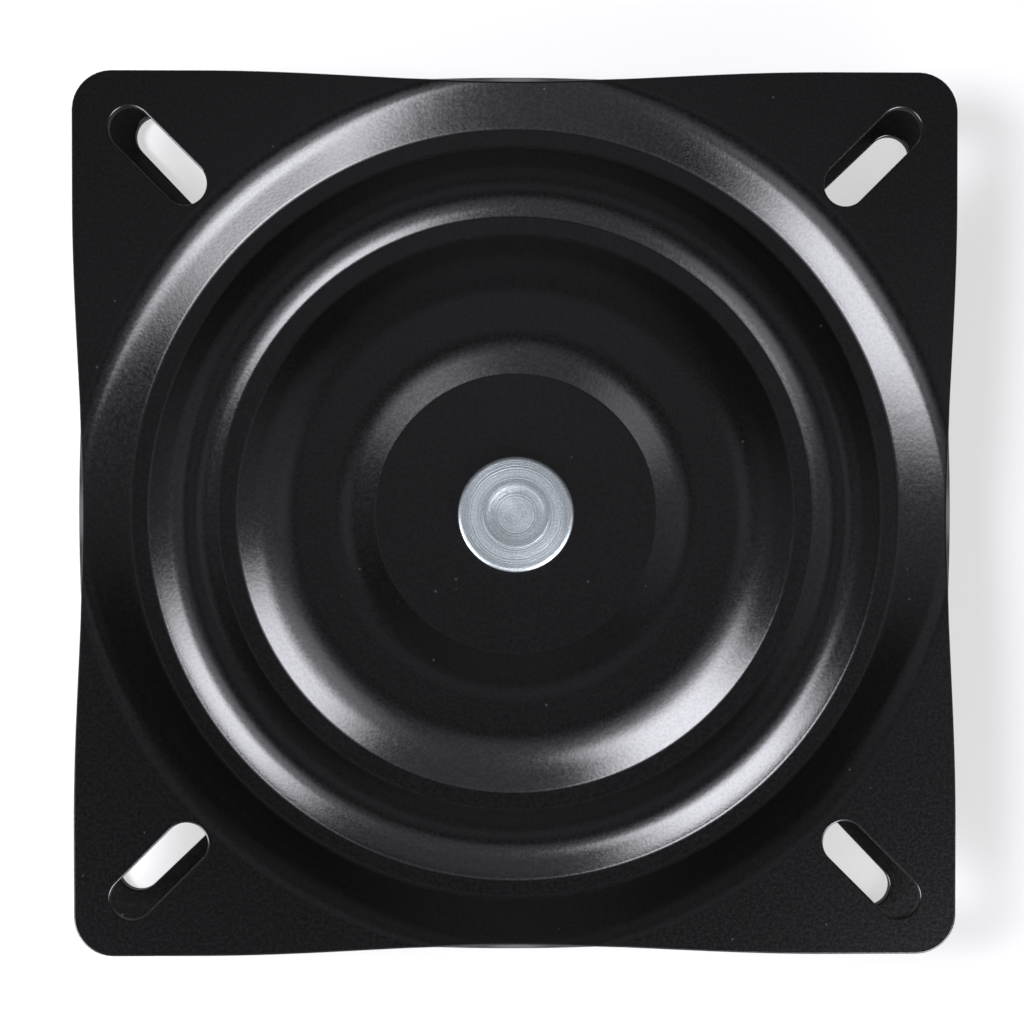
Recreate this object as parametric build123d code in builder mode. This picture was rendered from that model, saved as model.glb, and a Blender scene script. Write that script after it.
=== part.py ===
from build123d import *

import os
from math import cos, radians, sin, sqrt

# Boat seat swivel: two pressed steel plates that turn on a ring of balls about a centre rivet.
# The two plates are the same pressing, one turned over. Lengths are in millimetres, angles in degrees.
# The origin is on the floor plane of the base plate, on the swivel axis, with +Z towards the seat.

# Square sheet of each plate
plate_side = 178.0
plate_corner_r = 8.0
sheet_t = 2.5
# Pressing draws the middle of each side inward, and leans the sheet's edge back there
side_draw_in = 0.9
side_lean = 1.1
side_drawn_length = 126.0

# Bolt slots, one on each diagonal
slot_width = 8.7
slot_length = 24.3
slot_inset = 17.1

# Pressed rings, from the corner flats inward: each flank has a height, an angle and a rounded crest.
# Widths, heights and bend radii are those of the middle of the sheet's thickness.
wall_overrun = 0.4
wall_height = 6.95
wall_angle = 45.0
wall_crest_r = 8.25
outer_groove_width = 4.35
bead_outer_height = 2.95
bead_outer_angle = 26.5
bead_outer_crest_r = 8.0
bead_inner_height = 1.95
bead_inner_angle = 30.0
bead_inner_crest_r = 9.2
inner_groove_width = 4.5
plateau_height = 4.0
plateau_angle = 26.5
plateau_crest_r = 20.0
plateau_width = 5.55
disc_depth = 2.3
disc_angle = 18.5
disc_crest_r = 13.8
crease_r = 2.75

# Ball race under the beads
ball_d = 9.525
ball_count = 16
race_clearance = 0.1
cage_t = 3.0
cage_width = 12.0
pocket_clearance = 0.1

# Centre pivot
head_d = 23.4
head_t = 3.0
head_edge_r = 0.7
dish_d = 13.0
dish_depth = 0.2
journal_d = 14.0
tenon_d = 11.0
running_clearance = 0.05
bush_wall = 4.0
washer_d = 22.0
washer_t = 1.5
peened_d = 15.0
peened_height = 1.8

# Angle of the top plate over the base plate at rest
rest_turn = 1.44

# Heights of the middle of the sheet above the plane midway between the plates
bead_z = ball_d / 2 + race_clearance + sheet_t / 2
outer_groove_z = bead_z - bead_outer_height
inner_groove_z = bead_z - bead_inner_height
plateau_z = inner_groove_z + plateau_height
disc_z = plateau_z - disc_depth
flat_z = outer_groove_z + wall_height
mount_z = flat_z + sheet_t / 2


def flank_length(height, angle, crest_r):
    """Length of the straight flank below a rounded crest."""
    return (height - crest_r * (1 - cos(radians(angle)))) / sin(radians(angle))


def flank_run(height, angle, crest_r):
    """Horizontal reach of a flank with its rounded crest."""
    straight = flank_length(height, angle, crest_r) * cos(radians(angle))
    return straight + crest_r * sin(radians(angle))


# Radii of the rings, worked inward from the middle of a side
flat_r = plate_side / 2 + wall_overrun
outer_groove_outer_r = flat_r - flank_run(wall_height, wall_angle, wall_crest_r)
outer_groove_inner_r = outer_groove_outer_r - outer_groove_width
bead_r = outer_groove_inner_r - flank_run(bead_outer_height, bead_outer_angle, bead_outer_crest_r)
inner_groove_outer_r = bead_r - flank_run(bead_inner_height, bead_inner_angle, bead_inner_crest_r)
inner_groove_inner_r = inner_groove_outer_r - inner_groove_width
plateau_outer_r = inner_groove_inner_r - flank_run(plateau_height, plateau_angle, plateau_crest_r)
plateau_inner_r = plateau_outer_r - plateau_width
disc_r = plateau_inner_r - flank_run(disc_depth, disc_angle, disc_crest_r)
sheet_reach = plate_side / sqrt(2)


def rise(start, height, angle, crest_r):
    """Flank that climbs outward from a crease and rounds over at its crest."""
    flank = PolarLine(start, flank_length(height, angle, crest_r), angle)
    return JernArc(flank @ 1, flank % 1, crest_r, -angle)


def fall(start, height, angle, crest_r):
    """Rounded crest that turns down into a flank, outward to a crease."""
    crest = JernArc(start, (1, 0), crest_r, -angle)
    return PolarLine(crest @ 1, flank_length(height, angle, crest_r), -angle)


def sheet_section(bore_r):
    """Section of the pressed sheet, from the centre bore out past the corners."""
    with BuildSketch() as section:
        with BuildLine() as sheet:
            disc = Line((bore_r, disc_z), (disc_r, disc_z))
            inner = rise(disc @ 1, disc_depth, disc_angle, disc_crest_r)
            plateau = Line(inner @ 1, (plateau_outer_r, plateau_z))
            outer = fall(plateau @ 1, plateau_height, plateau_angle, plateau_crest_r)
            inner_groove = Line(outer @ 1, (inner_groove_outer_r, inner_groove_z))
            bead_in = rise(inner_groove @ 1, bead_inner_height, bead_inner_angle, bead_inner_crest_r)
            bead_out = fall(bead_in @ 1, bead_outer_height, bead_outer_angle, bead_outer_crest_r)
            outer_groove = Line(bead_out @ 1, (outer_groove_outer_r, outer_groove_z))
            wall = rise(outer_groove @ 1, wall_height, wall_angle, wall_crest_r)
            Line(wall @ 1, (sheet_reach, flat_z))
            feet = (disc @ 1, inner_groove @ 0, inner_groove @ 1, outer_groove @ 0, outer_groove @ 1)
            fillet([sheet.vertices().sort_by_distance(foot)[0] for foot in feet], crease_r)
        trace(line_width=sheet_t)
    return section.sketch


def plate_outline(bow):
    """Square with rounded corners, its sides bowed inward at the middle."""
    half = plate_side / 2
    straight = half - plate_corner_r
    drawn = side_drawn_length / 2
    with BuildSketch() as outline:
        with BuildLine():
            for turn in range(0, 360, 90):
                side_start = Vector(-straight, half).rotate(Axis.Z, -turn)
                bow_start = Vector(-drawn, half).rotate(Axis.Z, -turn)
                middle = Vector(0, half - bow).rotate(Axis.Z, -turn)
                bow_end = Vector(drawn, half).rotate(Axis.Z, -turn)
                side_end = Vector(straight, half).rotate(Axis.Z, -turn)
                corner_end = Vector(half, straight).rotate(Axis.Z, -turn)
                along = Vector(1, 0).rotate(Axis.Z, -turn)
                Line(side_start, bow_start)
                Spline(bow_start, middle, bow_end, tangents=(along, along))
                Line(bow_end, side_end)
                TangentArc(side_end, corner_end, tangent=along)
        make_face()
    return outline.sketch


os.makedirs("parts", exist_ok=True)

# Each plate is drawn on its own plane, with its mounting face on the plane's upper side
top_side = Plane((0, 0, mount_z), x_dir=(cos(radians(rest_turn)), sin(radians(rest_turn)), 0))
base_side = Plane((0, 0, mount_z), x_dir=(1, 0, 0), z_dir=(0, 0, -1))
lower_outline = plate_outline(side_draw_in)
upper_outline = plate_outline(side_draw_in + side_lean)
under_z = mount_z - sheet_t
slot_reach = sqrt(2) * (plate_side / 2 - slot_inset)

# Plates: a trimmed blank pressed to the sheet section, with a slot in each corner
for label, side, bore_r in (
    ("top_plate", top_side, journal_d / 2 + running_clearance),
    ("base_plate", base_side, tenon_d / 2),
):
    section = sheet_section(bore_r)
    with BuildPart() as plate:
        with BuildSketch(side.offset(under_z)):
            add(lower_outline)
        extrude(amount=-under_z)
        with BuildSketch(side.offset(under_z)):
            add(lower_outline)
        with BuildSketch(side.offset(mount_z)):
            add(upper_outline)
        loft(ruled=True)
        with BuildSketch(Plane(side.origin, x_dir=side.x_dir, z_dir=-side.y_dir)):
            add(section)
        revolve(axis=Axis.Z, mode=Mode.INTERSECT)
        with BuildSketch(side.offset(mount_z)):
            with PolarLocations(slot_reach, 4, start_angle=45):
                SlotOverall(slot_length, slot_width)
        extrude(amount=-2 * sheet_t, mode=Mode.SUBTRACT)
    plate.part.label = label
    export_step(plate.part, f"parts/{label}.step")

# Heights along the swivel axis
head_z = mount_z + disc_z + sheet_t / 2 + running_clearance
shoulder_z = mount_z - disc_z + sheet_t / 2
washer_z = mount_z - disc_z - sheet_t / 2 - washer_t
bush_length = 2 * (mount_z - shoulder_z - running_clearance)

# Centre rivet: turned head with a shallow dish, journal for the top plate, tenon peened under the base plate
with BuildPart() as centre_rivet:
    head_top_z = head_z + head_t
    with BuildSketch(Plane.XZ):
        with BuildLine():
            peened = TangentArc((0, washer_z - peened_height), (peened_d / 2, washer_z), tangent=(1, 0))
            dish = TangentArc((0, head_top_z - dish_depth), (dish_d / 2, head_top_z), tangent=(1, 0))
            Polyline(
                peened @ 1,
                (tenon_d / 2, washer_z),
                (tenon_d / 2, shoulder_z),
                (journal_d / 2, shoulder_z),
                (journal_d / 2, head_z),
                (head_d / 2, head_z),
                (head_d / 2, head_top_z),
                dish @ 1,
            )
            Line(dish @ 0, peened @ 0)
        make_face()
    revolve(axis=Axis.Z)
    head_face = centre_rivet.faces().sort_by(Axis.Z)[-1]
    fillet(head_face.edges().sort_by(SortBy.LENGTH)[-1], head_edge_r)
centre_rivet.part.label = "centre_rivet"
export_step(centre_rivet.part, "parts/centre_rivet.step")

# Washer that spreads the peened end over the base plate
with BuildPart() as rivet_washer:
    with BuildSketch(Plane.XY.offset(washer_z)):
        Circle(washer_d / 2)
        Circle(tenon_d / 2, mode=Mode.SUBTRACT)
    extrude(amount=washer_t)
rivet_washer.part.label = "rivet_washer"
export_step(rivet_washer.part, "parts/rivet_washer.step")

# Bush that spaces the two centre discs, standing on the base plate
with BuildPart() as pivot_bush:
    bush_bore_r = journal_d / 2 + running_clearance
    with BuildSketch(Plane.XY.offset(shoulder_z)):
        Circle(bush_bore_r + bush_wall)
        Circle(bush_bore_r, mode=Mode.SUBTRACT)
    extrude(amount=bush_length)
pivot_bush.part.label = "pivot_bush"
export_step(pivot_bush.part, "parts/pivot_bush.step")

# Cage: a flat ring with a round pocket for each ball
with BuildPart() as ball_cage:
    with BuildSketch(Plane.XY.offset(mount_z - cage_t / 2)):
        Circle(bead_r + cage_width / 2)
        Circle(bead_r - cage_width / 2, mode=Mode.SUBTRACT)
    extrude(amount=cage_t)
    with PolarLocations(bead_r, ball_count):
        with Locations((0, 0, mount_z)):
            Sphere(ball_d / 2 + pocket_clearance, mode=Mode.SUBTRACT)
ball_cage.part.label = "ball_cage"
export_step(ball_cage.part, "parts/ball_cage.step")

# Bearing balls, rolling between the two beads
for number, place in enumerate(PolarLocations(bead_r, ball_count), start=1):
    with BuildPart(Plane.XY.offset(mount_z)) as ball:
        with Locations(place.position):
            Sphere(ball_d / 2)
    ball.part.label = f"ball_{number:02d}"
    export_step(ball.part, f"parts/{ball.part.label}.step")
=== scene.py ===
import math

import bpy
import numpy as np
from mathutils import Matrix, Vector
from mathutils.geometry import delaunay_2d_cdt


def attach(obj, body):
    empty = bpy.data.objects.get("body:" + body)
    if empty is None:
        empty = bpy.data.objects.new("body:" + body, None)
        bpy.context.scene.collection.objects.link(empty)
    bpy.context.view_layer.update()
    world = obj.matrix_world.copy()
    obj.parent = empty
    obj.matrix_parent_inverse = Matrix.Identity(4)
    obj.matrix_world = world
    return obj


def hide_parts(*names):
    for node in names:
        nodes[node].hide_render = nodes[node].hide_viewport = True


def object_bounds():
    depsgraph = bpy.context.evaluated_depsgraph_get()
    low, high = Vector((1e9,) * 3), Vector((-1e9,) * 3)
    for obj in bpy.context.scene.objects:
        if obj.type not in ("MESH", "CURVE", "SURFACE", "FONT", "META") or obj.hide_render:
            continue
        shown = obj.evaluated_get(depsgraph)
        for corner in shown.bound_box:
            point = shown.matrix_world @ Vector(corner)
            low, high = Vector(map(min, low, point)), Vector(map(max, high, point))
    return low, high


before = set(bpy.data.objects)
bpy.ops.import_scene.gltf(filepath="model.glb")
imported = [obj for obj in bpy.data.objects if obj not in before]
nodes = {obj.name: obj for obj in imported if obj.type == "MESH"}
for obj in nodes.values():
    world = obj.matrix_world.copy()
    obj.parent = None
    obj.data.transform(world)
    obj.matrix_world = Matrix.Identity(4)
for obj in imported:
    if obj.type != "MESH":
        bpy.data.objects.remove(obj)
cad_low, cad_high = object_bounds()

# Boat seat swivel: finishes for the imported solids, and the two pressed plates as finer meshes of their form.
# Lengths are in metres and angles in degrees, unless a line says otherwise.
MM = 0.001
MOUNT_PLANE = cad_high.z
# Angle of the top plate over the base plate at rest, in radians; the camera and the lights turn with it
REST_TURN = math.radians(1.44)

# Pressed sheet of each plate
PLATE_SIDE = 178.0 * MM
PLATE_CORNER_R = 8.0 * MM
SHEET_T = 2.5 * MM
TOP_BORE_R = 7.05 * MM
BASE_BORE_R = 5.5 * MM
# Pressing draws the middle of each side inward, over this length to each side of the middle
SIDE_DRAW = 2.0 * MM
SIDE_DRAWN = 63.0 * MM
# Bolt slots, one on each diagonal
SLOT_WIDTH = 8.7 * MM
SLOT_LENGTH = 24.3 * MM
SLOT_INSET = 17.1 * MM
SLOT_HALF = (SLOT_LENGTH - SLOT_WIDTH) / 2
SLOT_REACH = math.sqrt(2) * (PLATE_SIDE / 2 - SLOT_INSET)
# Sheared edges are rounded, and kept a hair inside the solids' outline
EDGE_R = 0.4 * MM
EDGE_CLEAR = 0.005 * MM

# Pressed rings, from the corner flats inward: height, angle and crest radius at the middle of the sheet
WALL = (6.95 * MM, 45.0, 8.25 * MM)
BEAD_OUTER = (2.95 * MM, 26.5, 8.0 * MM)
BEAD_INNER = (1.95 * MM, 30.0, 9.2 * MM)
PLATEAU = (4.0 * MM, 26.5, 20.0 * MM)
# The disc's crest is rounder than the solid's, so that its reflection fades more slowly
DISC = (2.3 * MM, 18.5, 16.5 * MM)
# At the middle of a side no flat holds the wall's crest, so it is less steep there: angle and crest radius
MID_WALL = (36.0, 5.0 * MM)
OUTER_GROOVE_WIDTH = 4.35 * MM
INNER_GROOVE_WIDTH = 4.5 * MM
PLATEAU_WIDTH = 5.55 * MM
FLAT_R = 89.4 * MM
CREASE_R = 2.75 * MM
BALL_D = 9.525 * MM
RACE_CLEARANCE = 0.1 * MM
# Heights above the plane midway between the plates: middle of the sheet, and upper face of the flats
BEAD_Z = BALL_D / 2 + RACE_CLEARANCE + SHEET_T / 2
OUTER_GROOVE_Z = BEAD_Z - BEAD_OUTER[0]
FLAT_Z = OUTER_GROOVE_Z + WALL[0] + SHEET_T / 2

# Fineness of the plates' meshes: longest step on a line, and largest on a bend in radians
LINE_STEP = 12.0 * MM
ARC_STEP = math.radians(4.0)
# Rings on the parts of the wall: foot, crease, flank and crest
WALL_STEPS = (1, 10, 3, 16)
# The wall's rings start this far inside its foot, and stop this far short of the end of its crest
FOOT_MARGIN = 1.3 * MM
CREST_MARGIN = 0.4 * MM
# Columns round the plate stand closer together at the corners
SIDE_STEP = 1.0
CORNER_STEP = 0.5
CORNER_SPAN = (36.0, 54.0)
# Half of the angle round the axis in which a corner's flat lies
FLAT_SPAN = math.radians(44.0)
SLOT_END_POINTS = 19
SLOT_SIDE_STEPS = 8
RIM_STEPS = 4
# Rounds of reckoning that settle the bowed side, and settings of the flats' triangulation, in millimetres
SIDE_ROUNDS = 6
INSIDE_ONLY = 1
SAME_POINT = 1e-5

# Black powder coat: features to a metre, then colours, and reliefs as strength and height
COAT_GRAIN_SCALE = 1450.0
COAT_PEEL_SCALE = 520.0
COAT_HAZE_SCALE = 38.0
COAT_SPECK_SCALE = 260.0
# A speck's rim against the distance between specks, the share of places left bare, and its opacity
COAT_SPECK_RIM = (0.045, 0.085)
COAT_SPECK_BARE = 0.82
COAT_SPECK_COVER = 0.5
COAT_BLACK = (0.0012, 0.0012, 0.001248, 1.0)
COAT_HAZE = (0.0020, 0.0020, 0.00216, 1.0)
COAT_SPECK = (0.09, 0.09, 0.09, 1.0)
COAT_ROUGHNESS = (0.17, 0.23)
COAT_GLOSS = (0.82, 1.0)
COAT_PEEL_RELIEF = (0.06, 0.12 * MM)
COAT_GRAIN_RELIEF = (0.32, 0.06 * MM)
# Spans of noise over which the haze, the roughness and the gloss go from their first value to their last
COAT_HAZE_SPAN = (0.35, 0.75)
COAT_ROUGHNESS_SPAN = (0.25, 0.75)
COAT_GLOSS_SPAN = (0.35, 0.65)
# Sheared edges are duller than faces: how far a surface faces up or down where an edge ends and a face starts
EDGE_TO_FACE = (0.50, 0.62)
EDGE_DULLING = 0.38
EDGE_GLOSS = 0.3

# Zinc plate on turned steel: marks about the swivel axis, and a lip round the dish in the rivet's head
MARK_SCALE = 3600.0
BROAD_MARK_SCALE = 520.0
GRIT_SCALE = 3200.0
WANDER_SCALE = 260.0
MARK_WANDER = 0.35 * MM
MARK_SHARE = 0.5
ZINC_DARK = (0.50, 0.56, 0.58, 1.0)
ZINC_PALE = (0.86, 0.94, 0.96, 1.0)
ZINC_ROUGHNESS = (0.38, 0.48)
ZINC_TONE_SPAN = (0.36, 0.64)
ZINC_ROUGHNESS_SPAN = (0.3, 0.7)
MARK_RELIEF = (0.6, 0.10 * MM)
GRIT_RELIEF = (0.55, 0.05 * MM)
LIP_R = 6.1 * MM
LIP_WIDTH = 1.0 * MM
LIP_RELIEF = (1.0, 0.04 * MM)

# Acetal of the bush and the cage
ACETAL_GRAIN_SCALE = 2400.0
ACETAL_CLOUD_SCALE = 60.0
ACETAL_DARK = (0.66, 0.65, 0.61, 1.0)
ACETAL_PALE = (0.74, 0.73, 0.70, 1.0)
ACETAL_ROUGHNESS = (0.42, 0.52)
ACETAL_ROUGHNESS_SPAN = (0.3, 0.7)
ACETAL_RELIEF = (0.15, 0.04 * MM)

# Bearing steel of the balls, with a film of grease
FILM_SCALE = 330.0
STEEL_CLEAN = (0.60, 0.61, 0.62, 1.0)
STEEL_GREASED = (0.47, 0.46, 0.43, 1.0)
STEEL_ROUGHNESS = (0.10, 0.24)
STEEL_FILM_SPAN = (0.45, 0.7)
STEEL_ROUGHNESS_SPAN = (0.4, 0.7)

# Floor: what it gives back of the light, and what the camera and reflections see of it besides
FLOOR_SHADED = 0.15
FLOOR_WHITE = 0.60
FLOOR_REACH = 60.0
FLOOR_DROP = 0.2 * MM

# Studio: pale at the horizon between two heights of a unit direction, and dim above
HORIZON_BAND = (0.03, 0.07)
HORIZON_PALE = 0.9
STUDIO_DIM = 0.045
STUDIO_TINT = (1.0, 0.97, 1.06)
# Soft patches of the studio: azimuth, elevation and radius, and how bright their middle is
SKY_PATCHES = (
    (-52.0, 53.0, 18.0, 1.1),
    (-95.0, 40.0, 36.0, 0.30),
    (-140.0, 49.0, 18.0, 1.5),
    (180.0, 46.0, 32.0, 0.21),
    (-8.0, 40.0, 25.0, 0.12),
    (90.0, 34.0, 36.0, 0.04),
    (90.0, 58.0, 38.0, 0.07),
    (86.0, 86.5, 14.5, 0.12),
    (-48.0, 63.0, 9.5, 0.13),
    (-92.0, 66.0, 10.0, 0.18),
    (-138.0, 64.0, 9.5, 0.10),
    (180.0, 68.0, 10.0, 0.20),
    (0.0, 69.0, 11.0, 0.28),
)

# Soft boxes: azimuth and elevation, width and height, and how bright the middle is against white
FLOOR_LAMP = (172.0, 52.0, 0.36, 0.36, 75.0)
RIGHT_BOX = (-51.0, 30.0, 0.52, 0.62, 11.3)
LEFT_BOX = (-145.0, 19.0, 0.54, 0.58, 10.8)
LAMP_DISTANCE = 1.0
LAMP_TINT = (0.93, 0.93, 1.0)
# Panes of a soft box, one in front of the other: size against the box, and share of its brightness
SOFT_PANES = ((1.35, 0.3), (1.0, 0.4), (0.65, 0.3))
PANE_GAP = 0.02

# Camera: how large the plate shows, in pixels, how far the picture's middle lies from the axis, in pixels,
# and where the camera stands over that point
IMAGE_PIXELS = 1024.0
PLATE_PIXELS = 885.0
AIM_PIXELS = (-4.1, 2.4)
CAMERA_RISE = 0.390
CAMERA_OFFSET = (-0.0055, 0.005)
SENSOR_MM = 36.0
CLIP_RANGE = (0.01, 200.0)


# Node helpers

def set_input(tree, socket, value):
    """Links a socket to another node's output, or gives it a value of its own."""
    if isinstance(value, bpy.types.NodeSocket):
        tree.links.new(value, socket)
    else:
        socket.default_value = value


def node(tree, kind, values=None, **settings):
    """New node with its settings and its sockets' values."""
    made = tree.nodes.new(kind)
    for key, value in settings.items():
        setattr(made, key, value)
    for key, value in (values or {}).items():
        set_input(tree, made.inputs[key], value)
    return made


def empty_tree(owner):
    """Node tree of a material or a world, with nothing in it."""
    owner.use_nodes = True
    owner.node_tree.nodes.clear()
    return owner.node_tree


def material(name):
    """New material with its tree and a Principled shader."""
    made = bpy.data.materials.new(name)
    tree = empty_tree(made)
    out = node(tree, "ShaderNodeOutputMaterial")
    shader = node(tree, "ShaderNodeBsdfPrincipled")
    tree.links.new(shader.outputs["BSDF"], out.inputs["Surface"])
    return made, tree, shader


def math_node(tree, operation, first, second=0.0, third=0.0, clamp=False):
    values = {0: first, 1: second, 2: third}
    return node(tree, "ShaderNodeMath", values, operation=operation, use_clamp=clamp).outputs[0]


def ramp(tree, value, span, result=(0.0, 1.0), smooth=True):
    """Maps value from one span to another, clamped."""
    values = {
        "Value": value,
        "From Min": span[0],
        "From Max": span[1],
        "To Min": result[0],
        "To Max": result[1],
    }
    kind = "SMOOTHSTEP" if smooth else "LINEAR"
    return node(tree, "ShaderNodeMapRange", values, interpolation_type=kind).outputs["Result"]


def noise(tree, place, scale, detail=2.0, roughness=0.5):
    values = {"Vector": place, "Scale": scale, "Detail": detail, "Roughness": roughness}
    return node(tree, "ShaderNodeTexNoise", values).outputs["Fac"]


def ring_noise(tree, radius, scale, detail, roughness):
    """Noise that changes with the radius alone."""
    values = {"W": radius, "Scale": scale, "Detail": detail, "Roughness": roughness}
    return node(tree, "ShaderNodeTexNoise", values, noise_dimensions="1D").outputs["Fac"]


def bump(tree, height, relief, normal=None):
    values = {"Height": height, "Strength": relief[0], "Distance": relief[1]}
    if normal is not None:
        values["Normal"] = normal
    return node(tree, "ShaderNodeBump", values).outputs["Normal"]


def mix_colour(tree, factor, first, second):
    made = node(tree, "ShaderNodeMix", data_type="RGBA")
    factor_socket, first_socket, second_socket = made.inputs[0], made.inputs[6], made.inputs[7]
    set_input(tree, factor_socket, factor)
    set_input(tree, first_socket, first)
    set_input(tree, second_socket, second)
    return made.outputs[2]


# Materials

def powder_coat():
    """Semi-gloss black powder coat: fine orange peel, a faint haze of dust and scattered pale specks."""
    made, tree, shader = material("black_powder_coat")
    coords = node(tree, "ShaderNodeTexCoord")
    place = coords.outputs["Object"]
    upright = node(tree, "ShaderNodeSeparateXYZ", {"Vector": coords.outputs["Normal"]}).outputs["Z"]
    face = ramp(tree, math_node(tree, "ABSOLUTE", upright), EDGE_TO_FACE)
    grain = noise(tree, place, COAT_GRAIN_SCALE, detail=3.0, roughness=0.65)
    peel = noise(tree, place, COAT_PEEL_SCALE)
    haze = noise(tree, place, COAT_HAZE_SCALE, detail=4.0, roughness=0.6)

    cells = node(tree, "ShaderNodeTexVoronoi", {"Vector": place, "Scale": COAT_SPECK_SCALE})
    chance = node(tree, "ShaderNodeSeparateColor", {"Color": cells.outputs["Color"]}).outputs["Red"]
    speck = ramp(tree, cells.outputs["Distance"], COAT_SPECK_RIM, (1.0, 0.0))
    speck = math_node(tree, "MULTIPLY", speck, math_node(tree, "GREATER_THAN", chance, COAT_SPECK_BARE))
    base = mix_colour(tree, ramp(tree, haze, COAT_HAZE_SPAN), COAT_BLACK, COAT_HAZE)
    base = mix_colour(tree, math_node(tree, "MULTIPLY", speck, COAT_SPECK_COVER), base, COAT_SPECK)
    tree.links.new(base, shader.inputs["Base Color"])

    dulling = ramp(tree, face, (0.0, 1.0), (EDGE_DULLING, 0.0), smooth=False)
    rough = math_node(tree, "ADD", ramp(tree, grain, COAT_ROUGHNESS_SPAN, COAT_ROUGHNESS), dulling)
    tree.links.new(rough, shader.inputs["Roughness"])
    edge_gloss = ramp(tree, face, (0.0, 1.0), (EDGE_GLOSS, 1.0), smooth=False)
    gloss = math_node(tree, "MULTIPLY", ramp(tree, grain, COAT_GLOSS_SPAN, COAT_GLOSS), edge_gloss)
    tree.links.new(gloss, shader.inputs["Specular IOR Level"])

    normal = bump(tree, peel, COAT_PEEL_RELIEF)
    normal = bump(tree, grain, COAT_GRAIN_RELIEF, normal)
    tree.links.new(normal, shader.inputs["Normal"])
    return made


def turned_zinc():
    """Zinc plated steel with turning marks about the swivel axis."""
    made, tree, shader = material("zinc_plate")
    place = node(tree, "ShaderNodeTexCoord").outputs["Object"]
    split = node(tree, "ShaderNodeSeparateXYZ", {"Vector": place})
    flat = node(tree, "ShaderNodeCombineXYZ", {"X": split.outputs["X"], "Y": split.outputs["Y"]})
    radius = node(tree, "ShaderNodeVectorMath", {0: flat.outputs[0]}, operation="LENGTH").outputs["Value"]
    wander = noise(tree, place, WANDER_SCALE)
    wandering_radius = math_node(tree, "MULTIPLY_ADD", wander, MARK_WANDER, radius)
    marks = ring_noise(tree, wandering_radius, MARK_SCALE, detail=3.0, roughness=0.65)
    broad = ring_noise(tree, wandering_radius, BROAD_MARK_SCALE, detail=1.0, roughness=0.5)
    grit = noise(tree, place, GRIT_SCALE, roughness=0.6)

    marks_share = math_node(tree, "MULTIPLY", marks, MARK_SHARE)
    grit_share = math_node(tree, "MULTIPLY", grit, 1.0 - MARK_SHARE)
    tone = math_node(tree, "ADD", marks_share, grit_share)
    base = mix_colour(tree, ramp(tree, tone, ZINC_TONE_SPAN), ZINC_DARK, ZINC_PALE)
    tree.links.new(base, shader.inputs["Base Color"])
    rough = ramp(tree, broad, ZINC_ROUGHNESS_SPAN, ZINC_ROUGHNESS)
    tree.links.new(rough, shader.inputs["Roughness"])
    shader.inputs["Metallic"].default_value = 1.0

    from_lip = math_node(tree, "ABSOLUTE", math_node(tree, "SUBTRACT", radius, LIP_R))
    normal = bump(tree, ramp(tree, from_lip, (0.0, LIP_WIDTH), (1.0, 0.0)), LIP_RELIEF)
    normal = bump(tree, marks, MARK_RELIEF, normal)
    normal = bump(tree, grit, GRIT_RELIEF, normal)
    tree.links.new(normal, shader.inputs["Normal"])
    return made


def acetal():
    """Natural white moulded plastic with a faint matte grain."""
    made, tree, shader = material("acetal")
    place = node(tree, "ShaderNodeTexCoord").outputs["Object"]
    grain = noise(tree, place, ACETAL_GRAIN_SCALE)
    cloud = noise(tree, place, ACETAL_CLOUD_SCALE, detail=3.0)
    base = mix_colour(tree, cloud, ACETAL_DARK, ACETAL_PALE)
    tree.links.new(base, shader.inputs["Base Color"])
    rough = ramp(tree, grain, ACETAL_ROUGHNESS_SPAN, ACETAL_ROUGHNESS)
    tree.links.new(rough, shader.inputs["Roughness"])
    tree.links.new(bump(tree, grain, ACETAL_RELIEF), shader.inputs["Normal"])
    return made


def bearing_steel():
    """Lapped chrome steel with a thin film of grease that dulls it in places."""
    made, tree, shader = material("bearing_steel")
    place = node(tree, "ShaderNodeTexCoord").outputs["Object"]
    film = noise(tree, place, FILM_SCALE, detail=3.0, roughness=0.6)
    base = mix_colour(tree, ramp(tree, film, STEEL_FILM_SPAN), STEEL_CLEAN, STEEL_GREASED)
    tree.links.new(base, shader.inputs["Base Color"])
    rough = ramp(tree, film, STEEL_ROUGHNESS_SPAN, STEEL_ROUGHNESS)
    tree.links.new(rough, shader.inputs["Roughness"])
    shader.inputs["Metallic"].default_value = 1.0
    return made


finishes = {
    "black_powder_coat": powder_coat(),
    "zinc_plate": turned_zinc(),
    "acetal": acetal(),
    "bearing_steel": bearing_steel(),
}
slot_of = {
    "top_plate": "black_powder_coat",
    "base_plate": "black_powder_coat",
    "centre_rivet": "zinc_plate",
    "rivet_washer": "zinc_plate",
    "pivot_bush": "acetal",
    "ball_cage": "acetal",
}
for name, piece in nodes.items():
    slot = slot_of.get(name, "bearing_steel")
    piece.data.materials.clear()
    piece.data.materials.append(finishes[slot])


# Plates: section of the pressed sheet

def flank_length(height, angle, crest_r):
    """Length of the straight flank below a rounded crest."""
    bend = math.radians(angle)
    return (height - crest_r * (1 - math.cos(bend))) / math.sin(bend)


def flank_run(height, angle, crest_r):
    """Horizontal reach of a flank with its rounded crest."""
    bend = math.radians(angle)
    return flank_length(height, angle, crest_r) * math.cos(bend) + crest_r * math.sin(bend)


GROOVE_OUTER_R = FLAT_R - flank_run(*WALL)


def crease(angle):
    """Length that a crease's bend takes from the lines on each side of it."""
    return CREASE_R * math.tan(math.radians(angle) / 2)


def rise(height, angle, crest_r):
    """Moves along a flank that climbs outward: crease, straight flank and crest."""
    bend = math.radians(angle)
    straight = flank_length(height, angle, crest_r) - crease(angle)
    return [(CREASE_R, bend), (straight, 0.0), (crest_r, -bend)]


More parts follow.
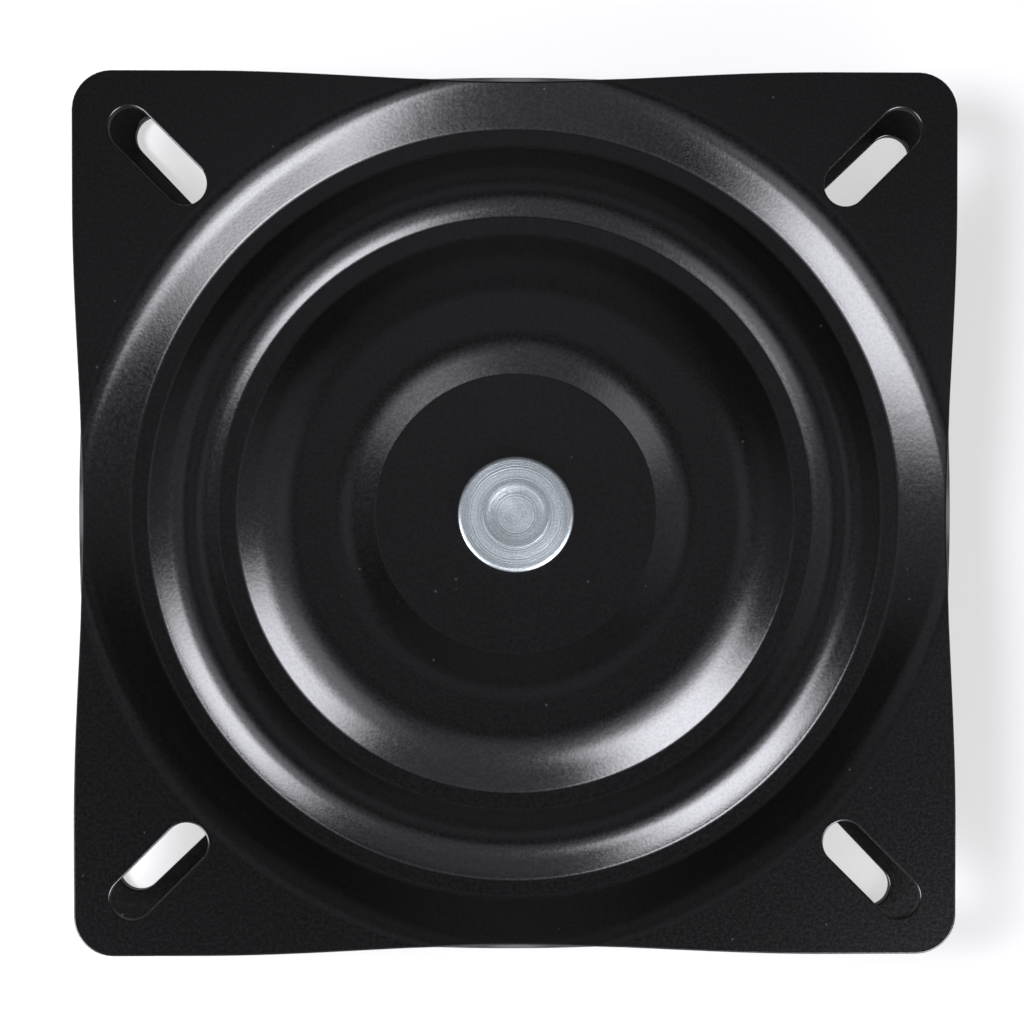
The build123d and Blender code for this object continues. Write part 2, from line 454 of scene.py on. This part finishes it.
def fall(height, angle, crest_r):
    """Moves along a flank that drops outward: crest, straight flank and crease."""
    return rise(height, angle, crest_r)[::-1]


def steps_along(size, turn):
    """How many steps a move is walked in, by length on a line and by angle on a bend."""
    if turn == 0.0:
        return max(1, round(size / LINE_STEP))
    return max(2, round(abs(turn) / ARC_STEP))


def walk(moves, r, z, counts=None):
    """Points along lines (length, 0) and bends (radius, angle): radius, height and tilt at each."""
    tilt = 0.0
    points = [(r, z, tilt)]
    counts = counts or [steps_along(size, turn) for size, turn in moves]
    for (size, turn), steps in zip(moves, counts):
        for _ in range(steps):
            new_tilt = tilt + turn / steps
            if turn == 0.0:
                r += size / steps * math.cos(tilt)
                z += size / steps * math.sin(tilt)
            else:
                bend_r = math.copysign(size, turn)
                r += bend_r * (math.sin(new_tilt) - math.sin(tilt))
                z -= bend_r * (math.cos(new_tilt) - math.cos(tilt))
            tilt = new_tilt
            points.append((r, z, tilt))
    return np.array(points)


def ring_section(bore_r):
    """Middle line of the sheet from the bore out to the foot of the wall."""
    bead_r = GROOVE_OUTER_R - OUTER_GROOVE_WIDTH - flank_run(*BEAD_OUTER)
    plateau_foot_r = bead_r - flank_run(*BEAD_INNER) - INNER_GROOVE_WIDTH
    disc_r = plateau_foot_r - flank_run(*PLATEAU) - PLATEAU_WIDTH - flank_run(*DISC)
    disc_z = BEAD_Z - BEAD_INNER[0] + PLATEAU[0] - DISC[0]
    moves = [(disc_r - crease(DISC[1]) - bore_r, 0.0)]
    moves += rise(*DISC) + [(PLATEAU_WIDTH, 0.0)] + fall(*PLATEAU)
    moves += [(INNER_GROOVE_WIDTH - crease(PLATEAU[1]) - crease(BEAD_INNER[1]), 0.0)]
    moves += rise(*BEAD_INNER) + fall(*BEAD_OUTER)
    moves += [(OUTER_GROOVE_WIDTH - crease(BEAD_OUTER[1]) - FOOT_MARGIN, 0.0)]
    return walk(moves, bore_r, disc_z)


def wall_section(share):
    """Middle line of the wall, from its foot to the flat; share is how near the middle of a side it is."""
    angle = WALL[1] + (MID_WALL[0] - WALL[1]) * share
    crest_r = WALL[2] + (MID_WALL[1] - WALL[2]) * share
    moves = [(FOOT_MARGIN - crease(angle), 0.0)] + rise(WALL[0], angle, crest_r)
    return walk(moves, GROOVE_OUTER_R - FOOT_MARGIN, OUTER_GROOVE_Z, WALL_STEPS)


# Plates: outline and slots

def plate_angles():
    """Angles of the columns round the plate, in radians from the middle of a side."""
    corner_start, corner_end = CORNER_SPAN
    quarter = np.concatenate([
        np.arange(0.0, corner_start, SIDE_STEP),
        np.arange(corner_start, corner_end, CORNER_STEP),
        np.arange(corner_end, 90.0, SIDE_STEP),
    ])
    return np.radians(np.concatenate([start + quarter for start in (0, 90, 180, 270)]))


def from_mid_side(theta):
    """Angle from the middle of the nearest side, in radians."""
    return np.radians(np.abs((np.degrees(theta) + 45.0) % 90.0 - 45.0))


def side_bow(s):
    """Share of the inward draw at a distance s along a side from its middle."""
    return np.where(np.abs(s) < SIDE_DRAWN, np.cos(np.pi * s / (2 * SIDE_DRAWN)) ** 2, 0.0)


def edge_radius(theta, inset):
    """Distance from the axis to the plate's outline, moved in by inset."""
    half, corner_r = PLATE_SIDE / 2 - inset, PLATE_CORNER_R - inset
    t = from_mid_side(theta)
    s = half * np.tan(t)
    for _ in range(SIDE_ROUNDS):
        side = half - SIDE_DRAW * side_bow(s)
        s = side * np.tan(t)
    on_side = side / np.cos(t)
    centre = math.sqrt(2) * (half - corner_r)
    off = np.radians(45.0) - t
    past_centre = np.sqrt(np.maximum(corner_r**2 - (centre * np.sin(off)) ** 2, 0.0))
    on_corner = centre * np.cos(off) + past_centre
    return np.where(s > half - corner_r, on_corner, on_side)


def slot_loop(turn):
    """Points round a slot, just outside its rounded rim, anticlockwise."""
    r = SLOT_WIDTH / 2 + EDGE_R
    loop = []
    for end in (1, -1):
        for a in np.linspace(-math.pi / 2, math.pi / 2, SLOT_END_POINTS):
            loop.append((SLOT_REACH + end * (SLOT_HALF + r * math.cos(a)), end * r * math.sin(a)))
        for k in range(1, SLOT_SIDE_STEPS):
            along = SLOT_HALF - 2 * SLOT_HALF * k / SLOT_SIDE_STEPS
            loop.append((SLOT_REACH + end * along, end * r))
    c, s = math.cos(turn), math.sin(turn)
    return [(x * c - y * s, x * s + y * c) for x, y in loop]


# Plates: meshes

class Sheet:
    """Mesh in the making: points with their normals, and faces."""

    def __init__(self):
        self.points = np.empty((0, 3))
        self.normals = np.empty((0, 3))
        self.faces = []

    def add(self, points, normals):
        """Adds points and gives their numbers."""
        first = len(self.points)
        self.points = np.concatenate([self.points, points])
        self.normals = np.concatenate([self.normals, normals])
        return list(range(first, len(self.points)))

    def add_flat(self, places):
        """Adds points on the upper face of the flats and gives their numbers."""
        points = [(x, y, FLAT_Z) for x, y in places]
        return self.add(points, np.tile([0.0, 0.0, 1.0], (len(points), 1)))

    def join(self, loop, next_loop):
        """Band of faces between two closed loops of as many points."""
        for i in range(len(loop)):
            j = (i + 1) % len(loop)
            self.faces.append((loop[i], next_loop[i], next_loop[j], loop[j]))


def wall_columns(theta, edge):
    """Wall at each angle, cut off at the plate's edge, and which angles have a flat beyond it."""
    shares = side_bow(FLAT_R * np.tan(from_mid_side(theta)))
    walls = np.stack([wall_section(share) for share in shares], 1)
    upper_r = walls[:, :, 0] - np.sin(walls[:, :, 2]) * SHEET_T / 2
    flat_start = upper_r[-1] - CREST_MARGIN
    has_flat = edge > flat_start + CREST_MARGIN
    reach = np.where(has_flat, flat_start, edge)
    place = np.arange(len(walls))
    columns = []
    for i in range(len(theta)):
        end = np.interp(reach[i], upper_r[:, i], place)
        at = np.linspace(0.0, end, len(walls))
        columns.append([np.interp(at, place, walls[:, i, k]) for k in range(3)])
    return np.array(columns), has_flat


def press_rings(sheet, theta, edge, bore_r):
    """Upper face of the rings and the wall; gives its loops, and which angles have a flat beyond the last."""
    count = len(theta)
    section = ring_section(bore_r)
    columns, has_flat = wall_columns(theta, edge)
    middle_r, middle_z, tilt = (
        np.concatenate([np.repeat(section[:, k:k + 1], count, 1), columns[:, k, 1:].T]) for k in range(3)
    )
    r = middle_r - np.sin(tilt) * SHEET_T / 2
    z = middle_z + np.cos(tilt) * SHEET_T / 2
    z[-1, has_flat] = FLAT_Z
    tilt[-1, has_flat] = 0.0

    # The normal leans by the slope along the radius and by the slope round the axis
    slope = np.tan(tilt)
    step = (np.roll(theta, -1) - np.roll(theta, 1)) % (2 * math.pi)
    z_change = np.roll(z, -1, 1) - np.roll(z, 1, 1)
    r_change = np.roll(r, -1, 1) - np.roll(r, 1, 1)
    around = (z_change - slope * r_change) / step / r
    around[-1, has_flat] = 0.0
    cos, sin = np.cos(theta), np.sin(theta)
    normals = np.stack([around * sin - slope * cos, -around * cos - slope * sin, np.ones_like(r)], 2)
    normals /= np.sqrt(1 + slope**2 + around**2)[:, :, None]
    points = np.stack([r * cos, r * sin, z], 2)

    numbers = sheet.add(points.reshape(-1, 3), normals.reshape(-1, 3))
    loops = [numbers[k:k + count] for k in range(0, len(numbers), count)]
    for loop, next_loop in zip(loops, loops[1:]):
        sheet.join(loop, next_loop)
    return loops, has_flat


def fill_corner(sheet, border, slot):
    """Triangles of a corner's flat, between its border and its slot."""
    numbers = border + slot
    places = [Vector(sheet.points[i][:2] / MM) for i in numbers]
    b, h = len(border), len(slot)
    edges = [(i, (i + 1) % b) for i in range(b)] + [(b + i, b + (i + 1) % h) for i in range(h)]
    points, _, triangles, origins, _, _ = delaunay_2d_cdt(places, edges, [], INSIDE_ONLY, SAME_POINT)
    for triangle in triangles:
        # A triangle between three points of the slot's rim lies in the slot
        if all(origins[i][0] >= b for i in triangle):
            continue
        first, second, third = (points[i] for i in triangle)
        face = [numbers[origins[i][0]] for i in triangle]
        if (second - first).cross(third - first) < 0:
            face.reverse()
        sheet.faces.append(tuple(face))


def lay_flats(sheet, theta, edge, crest, has_flat):
    """Flats of the four corners; gives the plate's outline and the slots' loops."""
    outline, slots = list(crest), []
    for quarter in range(4):
        turn = math.radians(45 + 90 * quarter)
        near = [i for i in range(len(theta)) if abs(theta[i] - turn) < FLAT_SPAN and has_flat[i]]
        rim = sheet.add_flat([(edge[i] * math.cos(theta[i]), edge[i] * math.sin(theta[i])) for i in near])
        for i, number in zip(near, rim):
            outline[i] = number
        slot = sheet.add_flat(slot_loop(turn))
        slots.append(slot)
        arc = crest[near[0] - 1:near[-1] + 2]
        fill_corner(sheet, arc + rim[::-1], slot)
    return outline, slots


def thicken(sheet):
    """Adds the sheet's under face, and gives how far its numbers are from the upper face's."""
    upper = len(sheet.points)
    sheet.add(sheet.points - sheet.normals * SHEET_T, -sheet.normals)
    sheet.faces += [tuple(upper + i for i in reversed(face)) for face in sheet.faces]
    return upper


def round_rim(sheet, loop, upper):
    """Sheared edge from a loop of the upper face to the under face, rounded at both."""
    points, normals = sheet.points[loop], sheet.normals[loop]
    along = np.roll(points, -1, 0) - np.roll(points, 1, 0)
    out = np.cross(along, normals)
    out /= np.linalg.norm(out, axis=1)[:, None]
    quarter = np.linspace(0.0, math.pi / 2, RIM_STEPS + 1)[1:]
    steps = [(a, EDGE_R * (1 - math.cos(a))) for a in quarter]
    steps += [(math.pi - a, SHEET_T - EDGE_R * (1 - math.cos(a))) for a in quarter[::-1]]
    rows = [loop]
    for a, drop in steps:
        moved = points + out * EDGE_R * math.sin(a) - normals * drop
        rows.append(sheet.add(moved, normals * math.cos(a) + out * math.sin(a)))
    rows.append([upper + i for i in loop])
    for row, next_row in zip(rows, rows[1:]):
        sheet.join(row, next_row)


def plate_mesh(name, bore_r):
    """Closed sheet with rounded edges, its mounting side up, about the plane midway between the plates."""
    sheet = Sheet()
    theta = plate_angles()
    edge = edge_radius(theta, EDGE_R + EDGE_CLEAR)
    loops, has_flat = press_rings(sheet, theta, edge, bore_r + EDGE_R)
    outline, slots = lay_flats(sheet, theta, edge, loops[-1], has_flat)
    upper = thicken(sheet)
    for loop in [outline, loops[0][::-1]] + [slot[::-1] for slot in slots]:
        round_rim(sheet, loop, upper)
    mesh = bpy.data.meshes.new(name)
    mesh.from_pydata(sheet.points.tolist(), [], sheet.faces)
    mesh.validate()
    mesh.shade_smooth()
    return mesh, sheet.normals


def pressed_plate(name, stands_for, body, bore_r, turn, flipped):
    """Plate that stands for a solid, turned about the axis and flipped to its own side."""
    mesh, normals = plate_mesh(name, bore_r)
    place = Matrix.Rotation(turn, 4, "Z")
    if flipped:
        place = Matrix.Rotation(math.pi, 4, "X") @ place
    place = Matrix.Translation((0, 0, MOUNT_PLANE / 2)) @ place
    mesh.transform(place)
    spin = np.array(place.to_3x3())
    mesh.normals_split_custom_set_from_vertices((normals @ spin.T).tolist())
    mesh.materials.append(finishes["black_powder_coat"])
    made = bpy.data.objects.new(name, mesh)
    bpy.context.scene.collection.objects.link(made)
    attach(made, body)
    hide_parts(stands_for)


pressed_plate("top_plate_sheet", "top_plate", "top", TOP_BORE_R, REST_TURN, False)
pressed_plate("base_plate_sheet", "base_plate", "base", BASE_BORE_R, 0.0, True)


# Stage: white floor under the base plate

def floor_material():
    """White floor that takes the shadow and shows as a white ground to the camera and in reflections."""
    made = bpy.data.materials.new("floor")
    tree = empty_tree(made)
    out = node(tree, "ShaderNodeOutputMaterial")
    shade = (FLOOR_SHADED, FLOOR_SHADED, FLOOR_SHADED, 1.0)
    diffuse = node(tree, "ShaderNodeBsdfDiffuse", {"Color": shade})
    path = node(tree, "ShaderNodeLightPath")
    seen = math_node(tree, "ADD", path.outputs["Is Camera Ray"], path.outputs["Is Glossy Ray"])
    seen = math_node(tree, "ADD", seen, path.outputs["Is Transmission Ray"], clamp=True)
    strength = math_node(tree, "MULTIPLY", seen, FLOOR_WHITE)
    glow = node(tree, "ShaderNodeEmission", {"Color": (1.0, 1.0, 1.0, 1.0), "Strength": strength})
    both = node(tree, "ShaderNodeAddShader", {0: diffuse.outputs[0], 1: glow.outputs[0]})
    tree.links.new(both.outputs[0], out.inputs["Surface"])
    return made


floor_mesh = bpy.data.meshes.new("floor")
signs = [(-1, -1), (1, -1), (1, 1), (-1, 1)]
corners = [(x * FLOOR_REACH, y * FLOOR_REACH, -FLOOR_DROP) for x, y in signs]
floor_mesh.from_pydata(corners, [], [(0, 1, 2, 3)])
floor_mesh.materials.append(floor_material())
floor = bpy.data.objects.new("floor", floor_mesh)
bpy.context.scene.collection.objects.link(floor)


# Light: a dim studio with soft patches, two soft boxes, and a lamp for the floor's shadow alone

def sky_direction(azimuth, elevation):
    """Direction from the object, the azimuth taken from the camera's right."""
    a, e = math.radians(azimuth) + REST_TURN, math.radians(elevation)
    return Vector((math.cos(a) * math.cos(e), math.sin(a) * math.cos(e), math.sin(e)))


def studio_world():
    """Studio that is dim all round, with a pale band at the horizon and the soft patches."""
    world = bpy.data.worlds.new("studio")
    tree = empty_tree(world)
    out = node(tree, "ShaderNodeOutputWorld")
    direction = node(tree, "ShaderNodeTexCoord").outputs["Generated"]
    height = node(tree, "ShaderNodeSeparateXYZ", {"Vector": direction}).outputs["Z"]
    level = ramp(tree, height, HORIZON_BAND, (HORIZON_PALE, STUDIO_DIM))
    for azimuth, elevation, radius, strength in SKY_PATCHES:
        both = {0: direction, 1: sky_direction(azimuth, elevation)}
        near = node(tree, "ShaderNodeVectorMath", both, operation="DOT_PRODUCT").outputs["Value"]
        patch = ramp(tree, near, (math.cos(math.radians(radius)), 1.0), (0.0, strength))
        level = math_node(tree, "ADD", level, patch)
    red, green, blue = (math_node(tree, "MULTIPLY", level, share) for share in STUDIO_TINT)
    colour = node(tree, "ShaderNodeCombineColor", {"Red": red, "Green": green, "Blue": blue})
    background = node(tree, "ShaderNodeBackground", {"Color": colour.outputs[0], "Strength": 1.0})
    tree.links.new(background.outputs[0], out.inputs["Surface"])
    bpy.context.scene.world = world


def soft_box(name, azimuth, elevation, width, height, radiance, lights_only=None):
    """Soft box aimed at the object, its face fading to the rim, which may light one collection alone."""
    towards = sky_direction(azimuth, elevation)
    for step, (scale, share) in enumerate(SOFT_PANES):
        lamp = bpy.data.lights.new(f"{name}_{step}", "AREA")
        lamp.shape = "RECTANGLE"
        lamp.size = width * scale
        lamp.size_y = height * scale
        lamp.energy = radiance * share * math.pi * lamp.size * lamp.size_y
        lamp.color = LAMP_TINT
        made = bpy.data.objects.new(lamp.name, lamp)
        made.location = towards * (LAMP_DISTANCE - PANE_GAP * step)
        made.rotation_mode = "QUATERNION"
        made.rotation_quaternion = towards.to_track_quat("Z", "Y")
        bpy.context.scene.collection.objects.link(made)
        if lights_only:
            made.light_linking.receiver_collection = lights_only


floor_only = bpy.data.collections.new("floor_only")
floor_only.objects.link(floor)
studio_world()
soft_box("floor_lamp", *FLOOR_LAMP, lights_only=floor_only)
soft_box("soft_box_right", *RIGHT_BOX)
soft_box("soft_box_left", *LEFT_BOX)


# Camera: looks almost straight down on the top plate

def add_camera():
    pixel = PLATE_SIDE / PLATE_PIXELS
    data = bpy.data.cameras.new("camera")
    data.sensor_width = SENSOR_MM
    data.lens = SENSOR_MM * CAMERA_RISE / (pixel * IMAGE_PIXELS)
    data.clip_start, data.clip_end = CLIP_RANGE
    made = bpy.data.objects.new("camera", data)
    across = Vector((math.cos(REST_TURN), math.sin(REST_TURN), 0.0))
    upward = Vector((-math.sin(REST_TURN), math.cos(REST_TURN), 0.0))
    aim = Vector((0.0, 0.0, MOUNT_PLANE)) + (across * AIM_PIXELS[0] + upward * AIM_PIXELS[1]) * pixel
    offset = across * CAMERA_OFFSET[0] + upward * CAMERA_OFFSET[1] + Vector((0.0, 0.0, CAMERA_RISE))
    made.location = aim + offset
    back = offset.normalized()
    side = upward.cross(back).normalized()
    top = back.cross(side)
    made.rotation_mode = "QUATERNION"
    made.rotation_quaternion = Matrix((side, top, back)).transposed().to_quaternion()
    bpy.context.scene.collection.objects.link(made)
    bpy.context.scene.camera = made


add_camera()
bpy.context.scene.view_settings.view_transform = "Standard"
